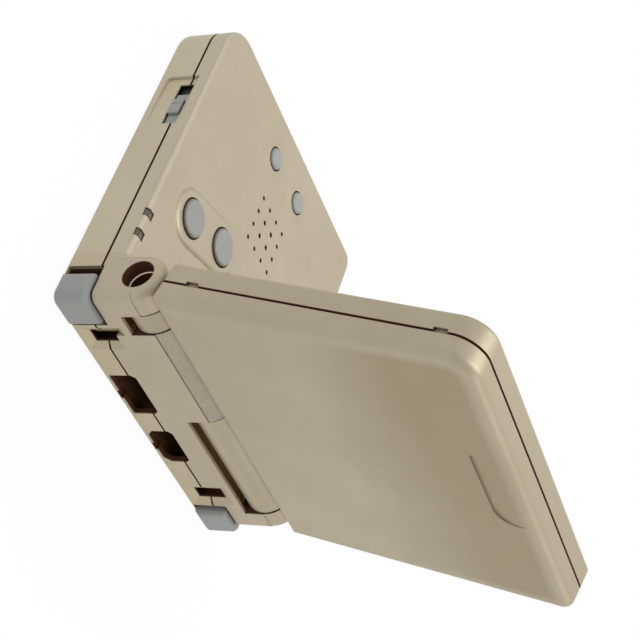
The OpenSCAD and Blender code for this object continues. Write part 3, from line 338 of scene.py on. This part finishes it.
def maskInterior(tree, x, y, z, depth):
    socket = every(tree, above(tree, y, socketZone["from"]),
                   below(tree, calc(tree, "ABSOLUTE", x), socketZone["reach"]),
                   below(tree, z, socketZone["top"]))
    knob = every(tree, above(tree, calc(tree, "ABSOLUTE", x), knobZone["side"]), below(tree, y, 0.0),
                 below(tree, z, knobZone["top"]))
    wall = calc(tree, "MINIMUM", ramp(tree, socket, 0, 1, baseInside["wall"], socketZone["wall"]),
                ramp(tree, knob, 0, 1, knobZone["elsewhere"], knobZone["wall"]))
    dish = reachFrom(tree, x, y, dishZone["place"])
    ceiling = ramp(tree, dish, dishZone["radius"], dishZone["radius"] + dishZone["soft"],
                   dishZone["ceiling"], baseInside["ceiling"])
    return every(tree, ramp(tree, calc(tree, "SUBTRACT", depth, wall), 0, baseInside["wallSoft"]),
                 ramp(tree, calc(tree, "SUBTRACT", ceiling, z), 0, baseInside["soft"]),
                 ramp(tree, z, baseInside["floor"], baseInside["floor"] + baseInside["soft"]))


def maskSeam(tree, x, y, z, depth):
    rear = every(tree, above(tree, y, baseSeam["rearFrom"]),
                 below(tree, calc(tree, "ABSOLUTE", x), baseSeam["notch"]))
    level = ramp(tree, rear, 0, 1, baseSeam["side"], baseSeam["rear"])
    half = ramp(tree, rear, 0, 1, baseSeam["half"], baseSeam["rearHalf"])
    off = calc(tree, "SUBTRACT", gapTo(tree, z, level), half)
    return every(tree, ramp(tree, off, baseSeam["soft"], 0), below(tree, depth, baseSeam["reach"]))


def maskRimHighlight(tree, y, z, depth):
    reach = calc(tree, "ADD", calc(tree, "MAXIMUM", depth, 0.0), gapTo(tree, z, rimHighlightZone["level"]))
    side = every(tree, ramp(tree, depth, *rimHighlightZone["wallSkin"]), ramp(tree, z, *rimHighlightZone["wallTop"]),
                 rimHighlightZone["wallShare"])
    rimHighlight = most(tree, ramp(tree, reach, *rimHighlightZone["reach"]), side)
    return every(tree, rimHighlight, below(tree, y, rimHighlightZone["rear"]))


def maskBase(tree, points):
    x, y, z = splitPoints(tree, points)
    depth = depthBehind(tree, points, baseOutline)
    away = reachFrom(tree, y, z, (hinge["y"], hinge["z"]))
    inner = every(tree, maskInterior(tree, x, y, z, depth), above(tree, away, cradleZone["radius"]))
    bore = every(tree, fade(tree, away, baseInside["bore"], baseInside["edgeSoft"]),
                 above(tree, x, baseInside["boreEnd"]))
    beside = every(tree, below(tree, away, cradleZone["radius"]),
                   below(tree, calc(tree, "ABSOLUTE", x), cradleZone["half"]))
    cradle = every(tree, beside, fade(tree, z, cradleZone["top"], cradleZone["soft"]),
                   ramp(tree, z, cradleZone["top"], cradleZone["low"], cradleZone["topShare"], 1))
    ends = [below(tree, gapTo(tree, calc(tree, "ABSOLUTE", x), place), cradleZone["endSkin"])
            for place in cradleZone["ends"]]
    ends = every(tree, most(tree, *ends), above(tree, y, rimHighlightZone["rear"]),
                 above(tree, depth, cradleZone["skin"]), above(tree, z, cradleZone["endLow"]))
    holes = [fade(tree, reachFrom(tree, x, y, place[:2]), place[2], baseInside["edgeSoft"])
             for place in baseInside["buttons"].values()]
    holes = every(tree, most(tree, *holes),
                  fade(tree, z, baseInside["buttonTop"], baseInside["buttonSoft"]))
    pocket = every(tree, beside, below(tree, z, cradleZone["top"]), above(tree, y, hinge["y"]))
    bareAndPaintedLight = most(tree, inner, maskSeam(tree, x, y, z, depth), bore, cradle, ends, holes)
    return bareAndPaintedLight, maskRimHighlight(tree, y, z, depth), pocket


# The lid's outline and seam, in the closed lid's place with the hinge at the origin
lidOutline = {"Middle": -0.04175, "HalfWidth": 0.041, "HalfDepth": 0.03535,
              "Right": 0.0062, "Left": 0.0026, "Rear": 0.0008}
lidInside = {"seam": 0.0005, "half": 0.00026, "soft": 0.00005, "reach": 0.0014, "rear": -0.0062,
             "bore": 0.0035, "boreSoft": 0.00004}
# Painted shade: the lid's outer face turns a darker, deeper gold towards its free end
lidPaintedShade = {"near": -0.036, "far": -0.06, "edge": 0.0018, "inside": 0.0042, "above": 0.003, "share": 0.75,
           "colour": (0.32, 0.255, 0.145)}


def maskLid(tree, points):
    y, z = splitPoints(tree, points)[1:]
    depth = depthBehind(tree, points, lidOutline)
    seam = every(tree, below(tree, depth, lidInside["reach"]), below(tree, y, lidInside["rear"]),
                 ramp(tree, gapTo(tree, z, lidInside["seam"]), lidInside["half"] + lidInside["soft"],
                      lidInside["half"]))
    # Painted shade inside the lid's bore
    bore = fade(tree, reachFrom(tree, y, z, (0, 0)), lidInside["bore"], lidInside["boreSoft"])
    lidShadeShare = every(tree, ramp(tree, y, lidPaintedShade["near"], lidPaintedShade["far"]),
                   ramp(tree, depth, lidPaintedShade["edge"], lidPaintedShade["inside"]),
                   above(tree, z, lidPaintedShade["above"]), lidPaintedShade["share"])
    return most(tree, seam, bore), lidShadeShare


# Painted warm shade in the pocket beside the lid's barrels
pocketLook = {"share": 0.8, "colour": (0.43, 0.21, 0.06)}
# Dark brown of the unpainted inside, which also serves as painted shade and a painted reflection of the
# gold paint in hollows
bareAndShadedInside = (0.085, 0.024, 0.004)  # the unpainted inside of the mouldings
# What every finish shares: samples and depth of the surface, and how much duller a hollow is
surface = {"samples": 6, "bump": 0.00002, "hollowRough": 0.3}


# Painted shade: grooves and hollows darken towards the deep colour
def paintPlain(tree, points, values, colour, deep):
    return blendColour(tree, calc(tree, "MULTIPLY", deep, values["dark"]), colour, values["deep"]), deep


def paintBase(tree, points, values, colour, deep):
    bareAndPaintedLight, rimHighlight, pocket = maskBase(tree, points)
    deep = calc(tree, "MULTIPLY", deep, calc(tree, "SUBTRACT", 1.0, pocket))
    colour, deep = paintPlain(tree, points, values, colour, deep)
    # Painted highlight along the base's upper edge, in the lighter colour of worn edges
    colour = blendColour(tree, calc(tree, "MULTIPLY", rimHighlight, values["rimHighlightShare"]), colour, values["bareAndPaintedLight"])
    # The inside, hinge bore, cradle and button wells turn dark brown, partly as painted shade, and so does
    # the seam
    colour = blendColour(tree, bareAndPaintedLight, colour, bareAndShadedInside)
    pocket = calc(tree, "MULTIPLY", pocket, pocketLook["share"])
    return blendColour(tree, pocket, colour, pocketLook["colour"]), calc(tree, "MAXIMUM", deep, bareAndPaintedLight)


def paintLid(tree, points, values, colour, deep):
    bareAndPaintedLight, lidShadeShare = maskLid(tree, points)
    colour, deep = paintPlain(tree, points, values, colour, deep)
    colour = blendColour(tree, bareAndPaintedLight, colour, bareAndShadedInside)
    # Painted shade on the lid's outer face towards its free end
    return blendColour(tree, lidShadeShare, colour, lidPaintedShade["colour"]), calc(tree, "MAXIMUM", deep, bareAndPaintedLight)


# The display's area behind the lens, inside its dark border
screenLook = {"middle": -0.043, "halfWidth": 0.0306, "halfHeight": 0.0204, "soft": 0.0001,
              "colour": (0.075, 0.08, 0.076)}


def paintScreen(tree, points, values, colour, deep):
    colour, deep = paintPlain(tree, points, values, colour, deep)
    x, y = splitPoints(tree, points)[:2]
    across = calc(tree, "SUBTRACT", calc(tree, "ABSOLUTE", x), screenLook["halfWidth"])
    along = calc(tree, "SUBTRACT", gapTo(tree, y, screenLook["middle"]), screenLook["halfHeight"])
    inside = ramp(tree, calc(tree, "MAXIMUM", across, along), screenLook["soft"], 0)
    return blendColour(tree, inside, colour, screenLook["colour"]), deep


# Painted shade and a painted reflection of the brown wells on the sides of the two large buttons, darker
# downwards
skirtShadeLook = {"top": 0.01538, "low": 0.01465, "share": 0.94, "colour": (0.09, 0.058, 0.026)}


def paintSkirtShade(tree, points, values, colour, deep):
    colour, deep = paintPlain(tree, points, values, colour, deep)
    height = splitPoints(tree, points)[2]
    share = ramp(tree, height, skirtShadeLook["top"], skirtShadeLook["low"], 0, skirtShadeLook["share"])
    return blendColour(tree, share, colour, skirtShadeLook["colour"]), deep


# One way to lay paint, moulded plastic or metal; each finish has its own values
def layFinish(name, values, onLid=False, paint=paintPlain):
    material, tree, shader = newMaterial(name)
    points = objectPoints(tree, onLid)
    grain = useGroup(tree, pigment, Points=points, Cloud=values["cloud"], Fleck=values["fleck"])
    wear = useGroup(tree, edgeWear, Points=points, Radius=values["edge"], Patches=values["patches"])
    deep = useGroup(tree, hollow, Reach=values["reach"], Open=values["open"], Shut=values["shut"])["Shade"]
    colour = blendColour(tree, grain["Tone"], values["colour"], values["shade"])
    flecks = calc(tree, "MULTIPLY", grain["Flecks"], values["flakes"])
    colour = blendColour(tree, flecks, colour, values["light"])
    worn = calc(tree, "MULTIPLY", wear["Worn"], values["wear"])
    colour = blendColour(tree, worn, colour, values["bareAndPaintedLight"])
    colour, deep = paint(tree, points, values, colour, deep)
    tree.links.new(colour, shader.inputs["Base Color"])
    rough = ramp(tree, grain["Tone"], 0, 1, *values["rough"])
    rough = calc(tree, "ADD", rough, calc(tree, "MULTIPLY", deep, surface["hollowRough"]))
    tree.links.new(rough, shader.inputs["Roughness"])
    if values["metal"]:
        shine = calc(tree, "SUBTRACT", 1.0, calc(tree, "MULTIPLY", deep, values["dark"]))
        tree.links.new(calc(tree, "MULTIPLY", shine, values["metal"]), shader.inputs["Metallic"])
    rounded = addNode(tree, "ShaderNodeBevel", samples=surface["samples"])
    rounded.inputs["Radius"].default_value = values["edge"]
    addBump(tree, shader, grain["Height"], values["grain"], surface["bump"], rounded.outputs["Normal"])
    return material


paintLook = {
    "colour": (0.455, 0.39, 0.272), "shade": (0.425, 0.36, 0.248), "light": (0.56, 0.50, 0.375),
    "bareAndPaintedLight": (0.62, 0.565, 0.445), "deep": (0.035, 0.016, 0.006), "rimHighlightShare": 0.6,
    "cloud": 45, "fleck": 8000, "flakes": 0.35, "rough": (0.46, 0.52), "metal": 0.5, "grain": 0.25,
    "edge": 0.00025, "patches": 300, "wear": 0.5, "reach": 0.0012, "open": 0.62, "shut": 0.3, "dark": 1,
}
basePaintLook = dict(paintLook, colour=(0.478, 0.41, 0.294), shade=(0.448, 0.38, 0.27))
lowPaintLook = dict(paintLook, colour=(0.53, 0.455, 0.305), shade=(0.50, 0.425, 0.285))
hingeLook = dict(paintLook, colour=(0.41, 0.345, 0.265), shade=(0.37, 0.305, 0.23),
                 light=(0.54, 0.47, 0.38), fleck=4600, flakes=0.75, grain=0.9, rough=(0.46, 0.56),
                 metal=0.35)
boreRingHighlightLook = dict(paintLook, colour=(0.62, 0.56, 0.46), dark=0.2)
strapLook = dict(paintLook, colour=(0.42, 0.3, 0.1), shade=(0.34, 0.24, 0.08), light=(0.55, 0.45, 0.25),
                 bareAndPaintedLight=(0.15, 0.11, 0.05), rough=(0.8, 0.85), metal=0, dark=0)
greyLook = {
    "colour": (0.315, 0.325, 0.305), "shade": (0.29, 0.30, 0.283), "light": (0.35, 0.36, 0.34),
    "bareAndPaintedLight": (0.42, 0.43, 0.42), "deep": (0.03, 0.02, 0.012),
    "cloud": 80, "fleck": 6000, "flakes": 0.25, "rough": (0.38, 0.46), "metal": 0, "grain": 0.15,
    "edge": 0.0002, "patches": 350, "wear": 0.3, "reach": 0.001, "open": 0.6, "shut": 0.3, "dark": 1,
}
knobLook = dict(greyLook, reach=0.0009)
switchLook = dict(greyLook, colour=(0.13, 0.125, 0.1), shade=(0.1, 0.095, 0.078),
                  light=(0.16, 0.155, 0.13), dark=0.5)
# Dark plastic in reddish brown: its own dark colour and a painted reflection of the gold paint in the dark
# sockets
darkLook = dict(greyLook, colour=(0.16, 0.042, 0.006), shade=(0.12, 0.03, 0.005), light=(0.2, 0.065, 0.014),
                bareAndPaintedLight=(0.22, 0.085, 0.02), deep=(0.06, 0.016, 0.003), dark=0.6)
rubberLook = dict(greyLook, colour=(0.17, 0.175, 0.18), shade=(0.14, 0.145, 0.15), light=(0.2, 0.2, 0.21),
                  rough=(0.6, 0.75))
steelLook = dict(greyLook, colour=(0.50, 0.49, 0.48), shade=(0.42, 0.41, 0.41), light=(0.62, 0.61, 0.6),
                 bareAndPaintedLight=(0.7, 0.69, 0.68), metal=1.0, rough=(0.22, 0.36), wear=0.6)
boardLook = dict(greyLook, colour=(0.02, 0.13, 0.055), shade=(0.015, 0.10, 0.04), light=(0.04, 0.18, 0.08),
                 bareAndPaintedLight=(0.2, 0.3, 0.12), deep=(0.004, 0.02, 0.01))
batteryLook = dict(greyLook, colour=(0.05, 0.052, 0.06), shade=(0.04, 0.042, 0.048),
                   light=(0.08, 0.082, 0.09), bareAndPaintedLight=(0.12, 0.12, 0.12))
lensLook = dict(greyLook, colour=(0.012, 0.013, 0.015), shade=(0.011, 0.012, 0.014),
                light=(0.014, 0.015, 0.017), bareAndPaintedLight=(0.05, 0.05, 0.05), rough=(0.05, 0.08), grain=0.0,
                flakes=0.1, wear=0.1)
panelLook = dict(greyLook, colour=(0.14, 0.15, 0.14), shade=(0.13, 0.14, 0.13), light=(0.16, 0.17, 0.16),
                 rough=(0.25, 0.35))
foamLook = dict(darkLook, colour=(0.03, 0.03, 0.032), shade=(0.02, 0.02, 0.022), light=(0.05, 0.05, 0.052),
                rough=(0.8, 0.9), grain=0.8, fleck=2500)
windowLook = dict(greyLook, colour=(0.10, 0.075, 0.052), shade=(0.085, 0.062, 0.042),
                  light=(0.14, 0.11, 0.08), bareAndPaintedLight=(0.16, 0.13, 0.1), rough=(0.2, 0.3))

# A finish for every material slot of the part, and finer ones for the nodes named below
slotLooks = {
    "shell_paint": paintLook, "hinge_cover": hingeLook, "button_grey": greyLook,
    "rubber_grey": rubberLook, "screw_steel": steelLook, "hinge_metal": steelLook,
    "board_green": boardLook, "battery_case": batteryLook, "lens_clear": lensLook,
    "display_grey": panelLook, "foam_dark": foamLook, "light_window": windowLook,
    "dark_plastic": darkLook,
}
finishes = {slot: layFinish(slot, values) for slot, values in slotLooks.items()}
finishes["basePaint"] = layFinish("basePaint", basePaintLook, paint=paintBase)
finishes["lidPaint"] = layFinish("lidPaint", paintLook, onLid=True, paint=paintLid)
finishes["lowPaint"] = layFinish("lowPaint", lowPaintLook, paint=paintBase)
finishes["actionGrey"] = layFinish("actionGrey", greyLook, paint=paintSkirtShade)
finishes["switchGrey"] = layFinish("switchGrey", switchLook)
finishes["screenGlass"] = layFinish("screenGlass", lensLook, onLid=True, paint=paintScreen)
finishOf = {
    "base_top_housing": "basePaint", "base_bottom_housing": "lowPaint",
    "lid_cover": "lidPaint", "lid_frame": "lidPaint", "screen_lens": "screenGlass",
    "a_button": "actionGrey", "b_button": "actionGrey",
    "power_switch_body": "switchGrey", "volume_switch_body": "switchGrey",
}
slotOf = {entry["node"]: entry["material_slot"] for entry in frame["record"]["subparts"]}
for name, node in nodes.items():
    node.data.materials.clear()
    node.data.materials.append(finishes[finishOf.get(name, slotOf[name])])
print("finishes given to", len(nodes), "nodes")


def addPiece(name, mesh, material):
    data = bpy.data.meshes.new(name)
    mesh.to_mesh(data)
    mesh.free()
    for face in data.polygons:
        face.use_smooth = True
    data.materials.append(material)
    piece = bpy.data.objects.new(name, data)
    scene.collection.objects.link(piece)
    return piece


# A painted highlight: a thin ring that glows inside the bore of the right knuckle
boreRing = {"x": 0.0378, "radius": 0.00334, "thick": 0.00013, "sides": 12, "steps": 64,
            "glow": (0.62, 0.5, 0.42, 1), "glint": 0.5}


def addBoreRing(values):
    mesh = bmesh.new()
    loops = []
    for step in range(values["steps"]):
        around = math.tau * step / values["steps"]
        loop = []
        for side in range(values["sides"]):
            turn = math.tau * side / values["sides"]
            reach = values["radius"] + values["thick"] * math.cos(turn)
            place = (values["x"] + values["thick"] * math.sin(turn),
                     hinge["y"] - reach * math.sin(around), hinge["z"] + reach * math.cos(around))
            loop.append(mesh.verts.new(place))
        loops.append(loop)
    for step, loop in enumerate(loops):
        before = loops[step - 1]
        for side, vertex in enumerate(loop):
            mesh.faces.new((before[side - 1], loop[side - 1], vertex, before[side]))
    material = layFinish("boreRingGlowHighlight", boreRingHighlightLook)
    shader = material.node_tree.nodes["Principled BSDF"]
    # The ring glows as a painted highlight
    shader.inputs["Emission Color"].default_value = values["glow"]
    shader.inputs["Emission Strength"].default_value = values["glint"]
    piece = addPiece("boreRing", mesh, material)
    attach(piece, "base")


addBoreRing(boreRing)
print("bore ring added")

# The power knob with its slab filling the slot, and a low bevelled grip with one groove
powerKnob = {
    "plate": ((0.03895, 0.03985), (-0.0174, -0.0048), (0.0066, 0.0109)),
    "slab": ((0.0398, 0.04045), (-0.01735, -0.0079), (0.00714, 0.01034)),
    "grip": ((0.0404, 0.04132), (-0.01525, -0.01085), (0.00718, 0.00985)),
    "groove": (-0.01385, -0.01367), "grooveFloor": 0.04118,
    "bevel": 0.00013, "slabBevel": 0.00006, "bevelSteps": 3,
}


def addBlock(mesh, spans, bevel, steps):
    sizes = [high - low for low, high in spans]
    middle = [(high + low) / 2 for low, high in spans]
    place = Matrix.Translation(middle) @ Matrix.Diagonal((*sizes, 1))
    corners = bmesh.ops.create_cube(mesh, size=1, matrix=place)["verts"]
    edges = [edge for edge in mesh.edges if edge.verts[0] in corners]
    bmesh.ops.bevel(mesh, geom=edges, offset=bevel, segments=steps, profile=0.5, affect="EDGES",
                    material=-1)


def addPowerKnob(values):
    mesh = bmesh.new()
    outer, along, upright = values["grip"]
    bevel, slabBevel, steps = values["bevel"], values["slabBevel"], values["bevelSteps"]
    addBlock(mesh, values["plate"], slabBevel, steps)
    addBlock(mesh, values["slab"], slabBevel, steps)
    addBlock(mesh, (outer, (along[0], values["groove"][0]), upright), bevel, steps)
    addBlock(mesh, (outer, (values["groove"][1], along[1]), upright), bevel, steps)
    addBlock(mesh, ((outer[0], values["grooveFloor"]), (along[0] + bevel, along[1] - bevel),
                    (upright[0] + bevel / 2, upright[1] - bevel / 2)), slabBevel, steps)
    piece = addPiece("powerKnob", mesh, layFinish("powerKnobGrey", knobLook))
    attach(piece, "power_knob")
    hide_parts("power_switch_knob")


addPowerKnob(powerKnob)
print("power knob added")

# An upright post in each strap slot, which the wrist strap would loop around
strapPost = {"across": 0.0281, "back": 0.0376, "radius": 0.0021, "low": 0.0028, "high": 0.0114,
             "bevel": 0.0002, "bevelSteps": 3, "sides": 32, "level": 1e-6}


def addStrapPosts(values):
    mesh = bmesh.new()
    middle = (values["low"] + values["high"]) / 2
    for across in (values["across"], -values["across"]):
        bmesh.ops.create_cone(mesh, cap_ends=True, segments=values["sides"], radius1=values["radius"],
                              radius2=values["radius"], depth=values["high"] - values["low"],
                              matrix=Matrix.Translation((across, values["back"], middle)))
    rims = [edge for edge in mesh.edges
            if abs(edge.verts[0].co.z - edge.verts[1].co.z) < values["level"]]
    bmesh.ops.bevel(mesh, geom=rims, offset=values["bevel"], segments=values["bevelSteps"], profile=0.5,
                    affect="EDGES", material=-1)
    piece = addPiece("strapPosts", mesh, layFinish("strapPostPlastic", strapLook))
    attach(piece, "base")


addStrapPosts(strapPost)
print("strap posts added")

# Stage: a pale floor that still takes the shadow, where white is the share of plain white
# that the camera sees in it
floorSetup = {"half": 6, "drop": 0.0002, "colour": (0.82, 0.82, 0.82, 1), "rough": 0.9, "white": 0.96}


def addFloor(values):
    mesh = bmesh.new()
    bmesh.ops.create_grid(mesh, x_segments=1, y_segments=1, size=values["half"],
                          matrix=Matrix.Translation((0, 0, -values["drop"])))
    material, tree, shader = newMaterial("paleFloor")
    shader.inputs["Base Color"].default_value = values["colour"]
    shader.inputs["Roughness"].default_value = values["rough"]
    path = addNode(tree, "ShaderNodeLightPath")
    glow = addNode(tree, "ShaderNodeEmission")
    glow.inputs["Strength"].default_value = 1.0
    seen = calc(tree, "MAXIMUM", path.outputs["Is Camera Ray"], path.outputs["Is Glossy Ray"])
    mixed = addNode(tree, "ShaderNodeMixShader")
    tree.links.new(calc(tree, "MULTIPLY", seen, values["white"]), mixed.inputs[0])
    tree.links.new(shader.outputs[0], mixed.inputs[1])
    tree.links.new(glow.outputs[0], mixed.inputs[2])
    tree.links.new(mixed.outputs[0], tree.nodes["Material Output"].inputs["Surface"])
    floor = addPiece("floor", mesh, material)


addFloor(floorSetup)

# Four soft lamps, all turned to a point above the middle of the base
lampAim = (0, 0, 0.03)
lampSize = 0.6
lampSetup = {
    "topLamp": {"place": (0.0, 0.0, 0.9), "power": 4.3},
    "leftLamp": {"place": (-0.7, 0.7, 0.5), "power": 1.7},
    "rightLamp": {"place": (0.7, -0.7, 0.5), "power": 0.9},
    "farLamp": {"place": (-0.6, -0.7, 0.6), "power": 0.6},
}


def addLamp(name, values):
    data = bpy.data.lights.new(name, "AREA")
    data.shape = "SQUARE"
    data.size = lampSize
    data.energy = values["power"]
    lamp = bpy.data.objects.new(name, data)
    scene.collection.objects.link(lamp)
    lamp.location = values["place"]
    direction = Vector(lampAim) - Vector(values["place"])
    lamp.rotation_mode = "QUATERNION"
    lamp.rotation_quaternion = direction.to_track_quat("-Z", "Y")


for name, values in lampSetup.items():
    addLamp(name, values)

# The world lights softly, and the camera sees it as white as the floor
worldLight = 0.6


def addWorld(strength):
    world = bpy.data.worlds.new("softStudio")
    world.use_nodes = True
    tree = world.node_tree
    background = tree.nodes["Background"]
    background.inputs["Color"].default_value = (1, 1, 1, 1)
    seen = addNode(tree, "ShaderNodeLightPath").outputs["Is Camera Ray"]
    extra = calc(tree, "MULTIPLY", seen, floorSetup["white"] - strength)
    tree.links.new(calc(tree, "ADD", extra, strength), background.inputs["Strength"])
    scene.world = world


addWorld(worldLight)
scene.view_settings.view_transform = "Standard"
print("stage and lamps set")
